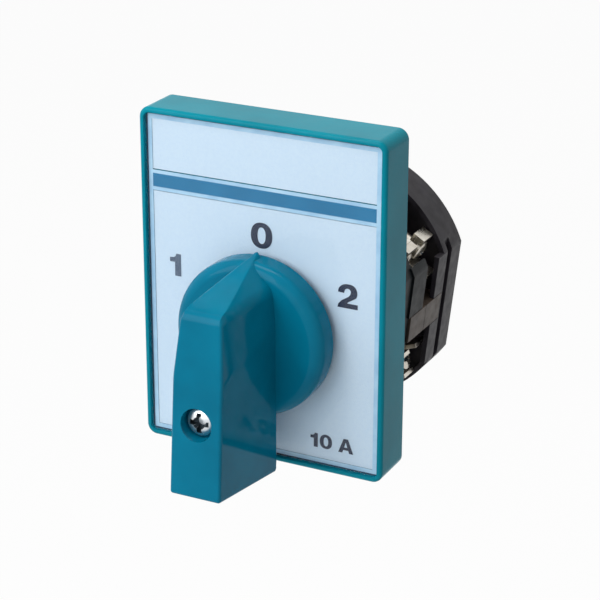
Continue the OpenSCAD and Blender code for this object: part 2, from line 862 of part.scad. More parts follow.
// Coil spring as one unbroken tube, with one dead curl at each end.
spring_rings = 8;
spring_sides = 6;
spring_low = spring_low_z + spring_wire_r;
spring_high = spring_high_z - spring_wire_r;
coil_count = spring_curls * spring_rings + 1;
function coil_rise(i) = spring_low + (spring_high - spring_low) * i / (coil_count - 1);
function coil_point(i) = let (a = i * 360 / spring_rings)
    [spring_r * cos(a), spring_r * sin(a), coil_rise(i)];
function coil_ring(i) = let (a = i * 360 / spring_rings, p = coil_point(i))
    [for (s = [0:spring_sides - 1]) let (b = s * 360 / spring_sides)
        p + spring_wire_r * [cos(b) * cos(a), cos(b) * sin(a), sin(b)]];
function tube_faces(rings, sides) = concat(
    [for (i = [0:rings - 2], s = [0:sides - 1])
        let (t = (s + 1) % sides) [i * sides + s, i * sides + t, (i + 1) * sides + t]],
    [for (i = [0:rings - 2], s = [0:sides - 1])
        let (t = (s + 1) % sides) [i * sides + s, (i + 1) * sides + t, (i + 1) * sides + s]],
    [for (s = [1:sides - 2]) [0, s + 1, s]],
    [for (s = [1:sides - 2]) [(rings - 1) * sides, (rings - 1) * sides + s, (rings - 1) * sides + s + 1]]);
coil_self_gap = min([for (i = [0:coil_count - 1], j = [0:coil_count - 1])
    if (j - i >= spring_rings / 2) norm(coil_point(i) - coil_point(j)) - 2 * spring_wire_r]);
echo(str("contact spring, least gap to itself ", coil_self_gap, " mm"));

module contact_spring(n) {
    mid = stage_front(n) + plunger_y0 + plunger_d / 2;
    color(steel) translate([0, mid, 0])
        polyhedron([for (i = [0:coil_count - 1]) each coil_ring(i)], tube_faces(coil_count, spring_sides));
}

module contact_spring_1_top() { turned() contact_spring(1); }
module contact_spring_1_bottom() { turned() mirror([0, 0, 1]) contact_spring(1); }
module contact_spring_2_top() { turned() contact_spring(2); }
module contact_spring_2_bottom() { turned() mirror([0, 0, 1]) contact_spring(2); }

// Terminals

function term_mid(n) = stage_deck(n) - strip_d / 2;

// Places a shape drawn along the terminal screw: its X points out along the screw, its Y stays.
module at_terminal(n) {
    translate([term_x, term_mid(n), term_z]) rotate([0, term_tilt, 0]) children();
}

module fixed_contact(n) {
    y0 = stage_deck(n) - strip_d;
    root_x = term_x - (term_z - strip_z + strip_t / 2) * tan(term_tilt) - strip_t / 2;
    difference() {
        union() {
            translate([pad_x, y0, strip_z - strip_t]) cube([root_x - pad_x, strip_d, strip_t]);
            translate([tip_x, stage_front(n) + plunger_y0 + plunger_d / 2, strip_z - strip_t / 2])
                cylinder(r = tip_r, h = tip_h + strip_t / 2);
            at_terminal(n) translate([-strip_t, -strip_d / 2, -clamp_w / 2])
                cube([strip_t, strip_d, clamp_w]);
        }
        at_terminal(n) rotate([0, 90, 0])
            cylinder(r = term_screw_d / 2, h = 3 * strip_t, center = true);
    }
}

module fixed_contacts_1() { color(brass) turned() four_corners() fixed_contact(1); }
module fixed_contacts_2() { color(brass) turned() four_corners() fixed_contact(2); }

module terminal_clamp(n) {
    at_terminal(n) difference() {
        union() {
            translate([0, -strip_d / 2, -clamp_w / 2]) cube([strip_t, strip_d, clamp_w]);
            translate([0, -strip_d / 2, -clamp_w / 2]) cube([strip_t + lip_long, strip_d, strip_t]);
            translate([0, -strip_d / 2, clamp_w / 2 - strip_t])
                cube([strip_t + lip_short, strip_d, strip_t]);
        }
        rotate([0, 90, 0]) cylinder(r = term_screw_d / 2 + screw_gap, h = 4 * strip_t, center = true);
    }
}

module terminal_clamps_1() { color(nickel) turned() four_corners() terminal_clamp(1); }
module terminal_clamps_2() { color(nickel) turned() four_corners() terminal_clamp(2); }

module terminal_screw(n) {
    at_terminal(n) rotate([0, 90, 0]) difference() {
        union() {
            translate([0, 0, strip_t]) cylinder(r = term_head_d / 2, h = term_head_h);
            translate([0, 0, -3 * strip_t]) cylinder(r = term_screw_d / 2, h = 4 * strip_t + cut / 2);
        }
        translate([0, 0, strip_t + term_head_h]) cross_cut(term_head_d, term_head_h);
    }
}

// Cross recess that opens along Z at the origin.
module cross_cut(head_d, head_h) {
    depth = head_h * cross_depth_share;
    arm = head_d * cross_len_share;
    translate([0, 0, -depth]) linear_extrude(depth + cut) {
        square([arm, cross_w], center = true);
        square([cross_w, arm], center = true);
    }
}

module terminal_screws_1() { color(nickel) turned() four_corners() terminal_screw(1); }
module terminal_screws_2() { color(nickel) turned() four_corners() terminal_screw(2); }

// Rear cover

module rear_cover() {
    groove_y = cover_y + groove_lead;
    color(bakelite) turned() difference() {
        union() {
            slab(cover_y, end_y - edge_soft) body_outline();
            slab(end_y - 2 * edge_soft, end_y) body_outline(edge_soft);
            four_corners() {
                slab(cover_y - cover_lip_d, cover_y + cut) rim_plan(cover_lip_z);
                slab(cover_y - cover_rim_d, cover_y + cut) rim_plan(body_r);
            }
        }
        slab(groove_y, groove_y + groove_w) difference() {
            square(3 * body_r, center = true);
            square([2 * (body_flat - groove_depth), 4 * body_r], center = true);
        }
        rod(0, 0, shaft_end_r + run_gap, cover_y, end_y);
        slab(cover_y - cut, square_back_y + slide_gap) circle(hub_r);
        rod(0, 0, end_recess_r, end_y - end_recess_d, end_y + cut);
        four_corners() {
            rod(tie_x, tie_z, tie_d / 2 + screw_gap, cover_y - cut, end_y);
            rod(tie_x, tie_z, tie_head_d / 2 + screw_gap, end_y - tie_seat, end_y + cut);
        }
    }
}

// Rim of the cover that reaches forwards round a side window, up to the given height.
module rim_plan(top) {
    intersection() {
        difference() {
            body_outline();
            body_outline(cover_lip_t);
        }
        translate([chamber_x + barrier_t + lay_gap, post_z + lay_gap]) square([body_r, top - post_z]);
    }
}

module tie_screws() {
    seat = end_y - tie_seat;
    color(nickel) turned() four_corners() difference() {
        union() {
            rod(tie_x, tie_z, tie_head_d / 2, seat, seat + tie_head_h);
            rod(tie_x, tie_z, tie_d / 2, tie_front_y + lay_gap, seat + tie_head_h / 2);
        }
        translate([tie_x, seat + tie_head_h, tie_z]) rotate([-90, 0, 0]) cross_cut(tie_head_d, tie_head_h);
    }
}

module tie_inserts() {
    color(brass) turned() four_corners() difference() {
        rod(tie_x, tie_z, tie_insert_r, stage_y - tie_insert_d, stage_y);
        rod(tie_x, tie_z, tie_d / 2, stage_y - tie_insert_d - cut, stage_y + cut);
    }
}

handle();
handle_screw();
handle_driver();
clear_window();
dial_card();
name_card();
escutcheon();
fixing_screws();
shaft();
shaft_clip();
front_housing();
housing_inserts();
detent_star();
detent_spring_left();
detent_spring_right();
detent_plate();
stage_body_1();
stage_body_2();
cam_1();
cam_2();
plunger_1_top();
plunger_1_bottom();
plunger_2_top();
plunger_2_bottom();
bridge_1_top();
bridge_1_bottom();
bridge_2_top();
bridge_2_bottom();
contact_spring_1_top();
contact_spring_1_bottom();
contact_spring_2_top();
contact_spring_2_bottom();
fixed_contacts_1();
fixed_contacts_2();
terminal_clamps_1();
terminal_clamps_2();
terminal_screws_1();
terminal_screws_2();
rear_cover();
tie_screws();
tie_inserts();
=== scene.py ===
import json
import math

import bmesh
import bpy
from mathutils import Matrix, Vector
from mathutils.geometry import tessellate_polygon


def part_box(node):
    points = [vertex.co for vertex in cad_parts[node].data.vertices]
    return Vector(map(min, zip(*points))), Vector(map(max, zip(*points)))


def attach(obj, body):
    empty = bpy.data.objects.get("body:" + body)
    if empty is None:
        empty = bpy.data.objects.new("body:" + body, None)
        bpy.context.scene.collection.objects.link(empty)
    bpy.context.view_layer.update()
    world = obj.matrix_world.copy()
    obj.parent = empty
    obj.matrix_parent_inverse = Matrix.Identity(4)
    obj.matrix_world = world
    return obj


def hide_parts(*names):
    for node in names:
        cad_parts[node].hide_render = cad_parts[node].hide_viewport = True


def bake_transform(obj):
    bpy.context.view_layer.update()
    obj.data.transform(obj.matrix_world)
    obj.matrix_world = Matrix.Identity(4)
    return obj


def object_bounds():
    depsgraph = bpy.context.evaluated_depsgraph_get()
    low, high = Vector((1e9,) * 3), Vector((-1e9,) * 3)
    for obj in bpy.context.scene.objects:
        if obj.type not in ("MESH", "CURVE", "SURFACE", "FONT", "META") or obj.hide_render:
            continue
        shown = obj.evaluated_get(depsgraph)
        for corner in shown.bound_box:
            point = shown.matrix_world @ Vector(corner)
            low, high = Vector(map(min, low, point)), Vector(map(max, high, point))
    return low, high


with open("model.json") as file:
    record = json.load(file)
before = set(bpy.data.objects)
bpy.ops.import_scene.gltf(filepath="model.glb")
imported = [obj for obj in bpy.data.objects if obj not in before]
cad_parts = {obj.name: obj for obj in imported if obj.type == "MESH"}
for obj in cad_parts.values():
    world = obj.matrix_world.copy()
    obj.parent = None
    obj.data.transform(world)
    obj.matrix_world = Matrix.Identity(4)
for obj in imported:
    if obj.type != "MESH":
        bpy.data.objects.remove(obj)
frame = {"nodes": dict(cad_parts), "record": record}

mm = 0.001
cadLow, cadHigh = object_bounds()
nodes = frame["nodes"]
bodyOf = {n: body for body, names in frame["record"]["behaviour"]["bodies"].items() for n in names}


def place(x, y, z):  # a point in millimetres
    return Vector((x, y, z)) * mm


def linear(hexText):  # sRGB hex to the linear colour that the shader wants
    parts = [int(hexText[i:i + 2], 16) / 255 for i in (1, 3, 5)]
    return tuple(p / 12.92 if p <= 0.04045 else ((p + 0.055) / 1.055) ** 2.4 for p in parts) + (1.0,)


def addNode(tree, kind, settings=None, sockets=None):  # a node with its settings, values and links
    node = tree.nodes.new(kind)
    for name, value in (settings or {}).items():
        setattr(node, name, value)
    for name, value in (sockets or {}).items():
        if isinstance(value, bpy.types.NodeSocket):
            tree.links.new(value, node.inputs[name])
        else:
            node.inputs[name].default_value = value
    return node


def newMaterial(name):  # an empty material and its Principled shader, wired to the output
    material = bpy.data.materials.new(name)
    material.use_nodes = True
    tree = material.node_tree
    tree.nodes.clear()
    shader = addNode(tree, "ShaderNodeBsdfPrincipled")
    addNode(tree, "ShaderNodeOutputMaterial", sockets={"Surface": shader.outputs["BSDF"]})
    coords = addNode(tree, "ShaderNodeTexCoord")
    return material, tree, shader, coords.outputs["Object"]


noiseSpan = {"colour": (0.35, 0.65), "gloss": (0.3, 0.7)}  # the part of the noise that is spread out
glossDetail = 4.0


def patches(tree, coords, sizeMm, detail):  # noise whose patches are that many millimetres wide
    noise = addNode(tree, "ShaderNodeTexNoise", sockets={
        "Vector": coords, "Scale": 1 / (sizeMm * mm), "Detail": detail})
    return noise.outputs["Fac"]


def mottle(tree, coords, sizeMm, light, dark, detail=3.0):  # two close colours in soft patches
    noise = patches(tree, coords, sizeMm, detail)
    ramp = addNode(tree, "ShaderNodeValToRGB", sockets={"Fac": noise})
    ramp.color_ramp.elements[0].position = noiseSpan["colour"][0]
    ramp.color_ramp.elements[1].position = noiseSpan["colour"][1]
    ramp.color_ramp.elements[0].color = linear(dark)
    ramp.color_ramp.elements[1].color = linear(light)
    return ramp.outputs["Color"]


def fineBump(tree, coords, sizeMm, heightMm, strength=1.0, detail=2.0):  # small relief of a surface
    noise = patches(tree, coords, sizeMm, detail)
    bump = addNode(tree, "ShaderNodeBump", sockets={
        "Height": noise, "Distance": heightMm * mm, "Strength": strength})
    return bump.outputs["Normal"]


def unevenGloss(tree, coords, sizeMm, low, high):  # roughness that wanders as on a handled surface
    noise = patches(tree, coords, sizeMm, glossDetail)
    start, end = noiseSpan["gloss"]
    spread = addNode(tree, "ShaderNodeMapRange", sockets={
        "Value": noise, "From Min": start, "From Max": end, "To Min": low, "To Max": high})
    return spread.outputs["Result"]


def link(tree, source, shader, name):
    tree.links.new(source, shader.inputs[name])


def glossyTealPlastic():  # polished injection moulding: deep even colour, clear reflections, faint flow marks
    material, tree, shader, coords = newMaterial("glossyTealPlastic")
    link(tree, mottle(tree, coords, 14, "#02718e", "#026884"), shader, "Base Color")
    link(tree, unevenGloss(tree, coords, 6, 0.05, 0.1), shader, "Roughness")
    link(tree, fineBump(tree, coords, 4, 0.012), shader, "Normal")
    shader.inputs["Specular IOR Level"].default_value = 0.07
    return material


def satinTealPaintedLight():  # the same plastic off an etched mould: softer reflections on the escutcheon, and a lighter base colour than the handle's, painted light that lifts its shaded sides
    material, tree, shader, coords = newMaterial("satinTealPaintedLight")
    link(tree, mottle(tree, coords, 18, "#038396", "#03798b"), shader, "Base Color")
    link(tree, unevenGloss(tree, coords, 7, 0.16, 0.25), shader, "Roughness")
    link(tree, fineBump(tree, coords, 2.2, 0.02), shader, "Normal")
    shader.inputs["Specular IOR Level"].default_value = 0.06
    return material


def printedBar():  # the bar between the cards, seen through the window as a lighter blue
    material, tree, shader, coords = newMaterial("printedBar")
    link(tree, mottle(tree, coords, 8, "#1a739d", "#156c95"), shader, "Base Color")
    shader.inputs["Roughness"].default_value = 0.4
    return material


def paleCard():  # smooth printed card, a cool white with a hint of fibre
    material, tree, shader, coords = newMaterial("paleCard")
    link(tree, mottle(tree, coords, 0.6, "#d3e1ea", "#cfdee9", detail=6.0), shader, "Base Color")
    link(tree, fineBump(tree, coords, 0.25, 0.003, 0.6, 5.0), shader, "Normal")
    shader.inputs["Roughness"].default_value = 0.62
    return material


def cardInk(name, light, dark):  # screen-printed ink, a dense blue-black that thins at the edges of its grain; also the colour of the painted shadow round the window
    material, tree, shader, coords = newMaterial(name)
    link(tree, mottle(tree, coords, 0.4, light, dark), shader, "Base Color")
    shader.inputs["Roughness"].default_value = 0.5
    return material


def frostedEdge():  # moulded border of the clear window, milky where it is glued down
    material, tree, shader, coords = newMaterial("frostedEdge")
    link(tree, mottle(tree, coords, 5, "#b4d6ea", "#9cc3de"), shader, "Base Color")
    shader.inputs["Roughness"].default_value = 0.3
    return material


def clearWindowPlastic():  # polished clear sheet: only its reflections show, stronger at a slant
    material = bpy.data.materials.new("clearWindowPlastic")
    material.use_nodes = True
    tree = material.node_tree
    tree.nodes.clear()
    coords = addNode(tree, "ShaderNodeTexCoord").outputs["Object"]
    wave = fineBump(tree, coords, 22, 0.02)
    through = addNode(tree, "ShaderNodeBsdfTransparent", sockets={"Color": linear("#fbfdff")})
    gloss = addNode(tree, "ShaderNodeBsdfGlossy", sockets={
        "Color": (1, 1, 1, 1), "Roughness": 0.03, "Normal": wave})
    slant = addNode(tree, "ShaderNodeLayerWeight", sockets={"Blend": 0.5, "Normal": wave})
    steep = addNode(tree, "ShaderNodeMath", {"operation": "POWER"}, {0: slant.outputs["Facing"], 1: 5.0})
    amount = addNode(tree, "ShaderNodeMapRange", sockets={
        "Value": steep.outputs[0], "To Min": 0.012, "To Max": 0.9})
    mix = addNode(tree, "ShaderNodeMixShader", sockets={
        0: amount.outputs["Result"], 1: through.outputs[0], 2: gloss.outputs[0]})
    addNode(tree, "ShaderNodeOutputMaterial", sockets={"Surface": mix.outputs[0]})
    return material


def phenolic(name, light, dark):  # compression-moulded phenolic: brown-black, faintly mottled, half gloss
    material, tree, shader, coords = newMaterial(name)
    link(tree, mottle(tree, coords, 3, light, dark), shader, "Base Color")
    link(tree, unevenGloss(tree, coords, 2, 0.34, 0.5), shader, "Roughness")
    link(tree, fineBump(tree, coords, 0.7, 0.01), shader, "Normal")
    shader.inputs["Specular IOR Level"].default_value = 0.16
    return material


def blackPlastic():  # glass-filled nylon, dull blue-black with a fine grain
    material, tree, shader, coords = newMaterial("blackPlastic")
    link(tree, mottle(tree, coords, 1.2, "#12181b", "#0d1214"), shader, "Base Color")
    link(tree, unevenGloss(tree, coords, 2, 0.42, 0.55), shader, "Roughness")
    link(tree, fineBump(tree, coords, 0.5, 0.008), shader, "Normal")
    shader.inputs["Specular IOR Level"].default_value = 0.14
    return material


def ivoryPlastic():  # natural acetal, slightly waxy
    material, tree, shader, coords = newMaterial("ivoryPlastic")
    link(tree, mottle(tree, coords, 4, "#e3ddcf", "#d9d2c2"), shader, "Base Color")
    shader.inputs["Roughness"].default_value = 0.42
    shader.inputs["Subsurface Weight"].default_value = 0.1
    shader.inputs["Subsurface Scale"].default_value = 1 * mm
    return material


def metal(name, light, dark, low, high, grainMm):  # drawn or plated metal with a wandering sheen
    material, tree, shader, coords = newMaterial(name)
    link(tree, mottle(tree, coords, 2.5, light, dark), shader, "Base Color")
    link(tree, unevenGloss(tree, coords, grainMm, low, high), shader, "Roughness")
    link(tree, fineBump(tree, coords, grainMm, 0.004), shader, "Normal")
    shader.inputs["Metallic"].default_value = 1.0
    return material


print("stage: materials")
tealGloss = glossyTealPlastic()
tealSatinPaintedLight = satinTealPaintedLight()
barBlue = printedBar()
card = paleCard()
denseInk = cardInk("denseInk", "#1c2740", "#131c31")
thinInk = cardInk("thinInk", "#5d6a7a", "#4a5768")  # the side figures, printed paler
frosted = frostedEdge()
seamShadow = cardInk("seamShadow", "#0b3f5a", "#08334b")  # painted shadow: a dark strip where the window meets the rim
clear = clearWindowPlastic()
bakelite = phenolic("darkBakelite", "#2b292f", "#222024")
brownBakelite = phenolic("brownBakelite", "#4f463f", "#3e3631")  # the stages, of a browner powder
black = blackPlastic()
ivory = ivoryPlastic()
nickel = metal("nickelPlatedSteel", "#d8d4ca", "#c6c0b4", 0.26, 0.4, 0.5)  # warm bright plating over turned steel
zinc = metal("zincPlatedSteel", "#e4e8eb", "#d3d8dc", 0.26, 0.36, 3.0)  # bluish bright plating
paintedShadeRecess = metal("paintedShadeRecess", "#4c565e", "#3a434a", 0.45, 0.6, 1.0)  # screw recess, darker than the head: painted shade
brightSteel = metal("brightSteel", "#c4c5c7", "#aeb0b3", 0.2, 0.34, 0.4)  # ground bar and rolled strip
brass = metal("rolledBrass", "#d9b566", "#c69f4d", 0.22, 0.36, 0.4)  # pressed strip, slightly dulled
plated = metal("silveredBrass", "#e4e0d6", "#cfcabd", 0.2, 0.34, 0.4)  # brass contact strip under silver plating
finishes = {  # one for each material slot of the record
    "teal_plastic": tealSatinPaintedLight, "nickel_steel": nickel, "bright_steel": brightSteel, "black_plastic": black,
    "clear_plastic": clear, "printed_card": card, "brass": brass, "ivory_plastic": ivory,
    "brown_bakelite": bakelite,
}
slotOf = {s["node"]: s["material_slot"] for s in frame["record"]["subparts"]}


def newPiece(name, mesh, material):
    piece = bpy.data.objects.new(name, mesh)
    bpy.context.scene.collection.objects.link(piece)
    mesh.materials.clear()
    mesh.materials.append(material)
    return piece


def meshFrom(form, name):  # a bmesh made into mesh data
    mesh = bpy.data.meshes.new(name)
    bmesh.ops.recalc_face_normals(form, faces=form.faces)
    form.to_mesh(mesh)
    form.free()
    return mesh


def bake(piece):  # applies every modifier to the mesh
    bpy.context.view_layer.update()
    graph = bpy.context.evaluated_depsgraph_get()
    mesh = bpy.data.meshes.new_from_object(piece.evaluated_get(graph))
    piece.modifiers.clear()
    old = piece.data
    piece.data = mesh
    bpy.data.meshes.remove(old)


def smoothFaces(piece, degrees):  # smooth shading that keeps sharper edges, and flat faces flat beside a rounding
    piece.data.polygons.foreach_set("use_smooth", [True] * len(piece.data.polygons))
    piece.data.set_sharp_from_angle(angle=math.radians(degrees))
    level = piece.modifiers.new("flatFaces", "WEIGHTED_NORMAL")
    level.keep_sharp = True
    bake(piece)


meshing = {  # how pieces are merged, rounded, shaded and divided: millimetres, degrees and counts
    "merge": 0.002, "flat": 0.6, "copySegments": 2, "copyCorner": 40, "copyShade": 32, "springShade": 40,
    "leverSegments": 5, "leverFlat": 1, "leverCorner": 0.01, "leverShade": 30, "screwShade": 35,
    "latheMerge": 0.0005, "inkMerge": 0.001, "wellSteps": 64, "discSteps": 160, "discEdgeSteps": 14,
    "headSides": 64, "headRings": 48, "pocketSides": 24, "shankSides": 32,
}


def mergedForm(node):  # a CAD node's loose triangles joined into one skin
    form = bmesh.new()
    form.from_mesh(nodes[node].data)
    bmesh.ops.remove_doubles(form, verts=form.verts, dist=meshing["merge"] * mm)
    return form


def lookName(node):
    return node.replace("_", ".") + ".look"


def softenedCopy(node, edgeMm, material):  # a copy of a CAD node with its edges broken
    form = mergedForm(node)
    bmesh.ops.dissolve_limit(form, angle_limit=math.radians(meshing["flat"]), verts=form.verts, edges=form.edges)
    piece = newPiece(lookName(node), meshFrom(form, node + "Look"), material)
    bevel = piece.modifiers.new("brokenEdges", "BEVEL")
    bevel.width = edgeMm * mm
    bevel.segments = meshing["copySegments"]
    bevel.limit_method = "ANGLE"
    bevel.angle_limit = math.radians(meshing["copyCorner"])
    bevel.use_clamp_overlap = True
    bake(piece)
    smoothFaces(piece, meshing["copyShade"])
    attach(piece, bodyOf[node])
    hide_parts(node)


print("stage: contact body")
brokenEdges = {  # edge rounding of each moulded or pressed piece, in millimetres
    "escutcheon": 0.12, "front_housing": 0.3, "stage_body_1": 0.18, "stage_body_2": 0.18, "rear_cover": 0.3,
    "terminal_clamps_1": 0.14, "terminal_clamps_2": 0.14, "fixed_contacts_1": 0.1, "fixed_contacts_2": 0.1,
    "clear_window": 0.25,
}
ownFinish = {"fixed_contacts_1": plated, "fixed_contacts_2": plated, "stage_body_1": brownBakelite,
             "stage_body_2": brownBakelite}
for node, edge in brokenEdges.items():
    softenedCopy(node, edge, ownFinish.get(node, finishes[slotOf[node]]))


# a contact spring copied from its CAD node and shaded smooth
def liftedSpring(node):
    piece = newPiece(lookName(node), meshFrom(mergedForm(node), node + "Look"), finishes[slotOf[node]])
    smoothFaces(piece, meshing["springShade"])
    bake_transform(piece)
    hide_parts(node)


springs = []
for joint in frame["record"]["behaviour"]["joints"]:
    if joint["name"].endswith("_lift"):
        springs.append("contact_spring_" + joint["name"][len("contact_"):-len("_lift")])
        liftedSpring(springs[-1])
madeBelow = ("handle", "handle_screw", "terminal_screws_1", "terminal_screws_2", "tie_screws")
for node, piece in nodes.items():  # what stays as it is gets its finish
    if node not in brokenEdges and node not in madeBelow and node not in springs:
        piece.data.materials.clear()
        piece.data.materials.append(finishes[slotOf[node]])

handleSizes = {  # millimetres; y is measured from the panel face, z from the shaft
    "frontTop": (4.9, -38.0, 13.2), "frontMiddle": (6.0, -40.1, -1.0), "frontLow": (6.15, -42.1, -27.6),
    "heel": (7.3, -17.3, -30.4), "root": (7.3, -17.3, 5.9), "shoulder": (6.6, -17.3, 13.4),
    "tip": (0.25, -12.4, 19.1),
    "edge": 0.7, "noseEdge": 1.7, "tipEdge": 0.22,
    "discRadius": 18.2, "discFront": -18.1, "discBack": -11.6, "discEdge": 2.8,
    "wellRadius": 3.75, "wellFloor": -37.7, "wellFront": -50, "screwZ": -10.8, "discBackEdge": 0.2,
    "tipHalfWidth": 1,
}


def leverMesh():  # the lever's convex body, with bevel weights for rounding its edges
    form = bmesh.new()
    for key in ("frontTop", "frontMiddle", "frontLow", "heel", "root", "shoulder", "tip"):
        x, y, z = handleSizes[key]
        for side in (-1, 1):
            form.verts.new(place(side * x, y, z))
    bmesh.ops.convex_hull(form, input=form.verts)
    bmesh.ops.dissolve_limit(form, angle_limit=math.radians(meshing["leverFlat"]), verts=form.verts,
                             edges=form.edges)
    share = form.edges.layers.float.new("bevel_weight_edge")
    corner = place(*handleSizes["frontTop"])
    reach = meshing["leverCorner"] * mm
    for edge in form.edges:  # the nose is rounder than the rest
        nose = any((Vector((abs(v.co.x), v.co.y, v.co.z)) - corner).length < reach for v in edge.verts)
        nose = nose and all(v.co.z > 0 for v in edge.verts)
        width = handleSizes["noseEdge"] if nose else handleSizes["edge"]
        if any(abs(v.co.x) < handleSizes["tipHalfWidth"] * mm for v in edge.verts):
            width = handleSizes["tipEdge"]
        edge[share] = width / handleSizes["noseEdge"]
    return meshFrom(form, "leverBody")


def lathe(name, outline, center, steps):  # turns an outline of (radius, y) about the Y axis through center
    form = bmesh.new()
    points = [form.verts.new(place(center[0] + r, y, center[1])) for r, y in outline]
    edges = [form.edges.new((a, b)) for a, b in zip(points, points[1:])]
    bmesh.ops.spin(form, geom=points + edges, cent=place(center[0], 0, center[1]), axis=(0, 1, 0),
                   angle=2 * math.pi, steps=steps)
    bmesh.ops.remove_doubles(form, verts=form.verts, dist=meshing["latheMerge"] * mm)
    return meshFrom(form, name)


def arc(cx, cy, radius, start, end, count):  # points of an arc in an outline, in millimetres and degrees
    angles = [math.radians(start + (end - start) * i / count) for i in range(count + 1)]
    return [(cx + radius * math.cos(a), cy + radius * math.sin(a)) for a in angles]


def makeHandle():
    s = handleSizes
    lever = newPiece("handle.lever", leverMesh(), tealGloss)
    bevel = lever.modifiers.new("softEdges", "BEVEL")
    bevel.width = s["noseEdge"] * mm
    bevel.segments = meshing["leverSegments"]
    bevel.limit_method = "WEIGHT"
    wellSide = [(0, s["wellFloor"]), (s["wellRadius"], s["wellFloor"]), (s["wellRadius"], s["wellFront"]),
                (0, s["wellFront"])]
    cutter = newPiece("wellCutter", lathe("wellCutter", wellSide, (0, s["screwZ"]), meshing["wellSteps"]),
                      tealGloss)
    well = lever.modifiers.new("well", "BOOLEAN")
    well.operation = "DIFFERENCE"
    well.object = cutter
    well.solver = "EXACT"
    bake(lever)
    bpy.data.objects.remove(cutter)
    smoothFaces(lever, meshing["leverShade"])
    outline = [(0, s["discBack"]), (s["discRadius"] - s["discBackEdge"], s["discBack"]),
               (s["discRadius"], s["discBack"] - s["discBackEdge"])]
    outline += arc(s["discRadius"] - s["discEdge"], s["discFront"] + s["discEdge"], s["discEdge"], 0, -90,
                   meshing["discEdgeSteps"])
    outline += [(0, s["discFront"])]
    disc = newPiece("handle.disc", lathe("discBody", outline, (0, 0), meshing["discSteps"]), tealGloss)
    smoothFaces(disc, meshing["leverShade"])
    for piece in (lever, disc):
        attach(piece, "handle_and_shaft")
        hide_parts("handle")


print("stage: handle")
makeHandle()

screwInputs = ("Head Diameter", "Head Height", "Shank Diameter", "Shank Length", "Recess Length", "Recess Width",
               "Recess Depth")

screwShares = {  # of the head's diameter, its height, the shank's length, or the recess's length and depth
    "dome": 0.6, "pocketTop": 0.34, "pocketBottom": 0.2, "pocketDepth": 1.2, "pocketMiddle": 1.15,
    "shankMiddle": -0.49, "markReach": 0.51, "markHigh": 0.7, "markLow": 0.02,
}


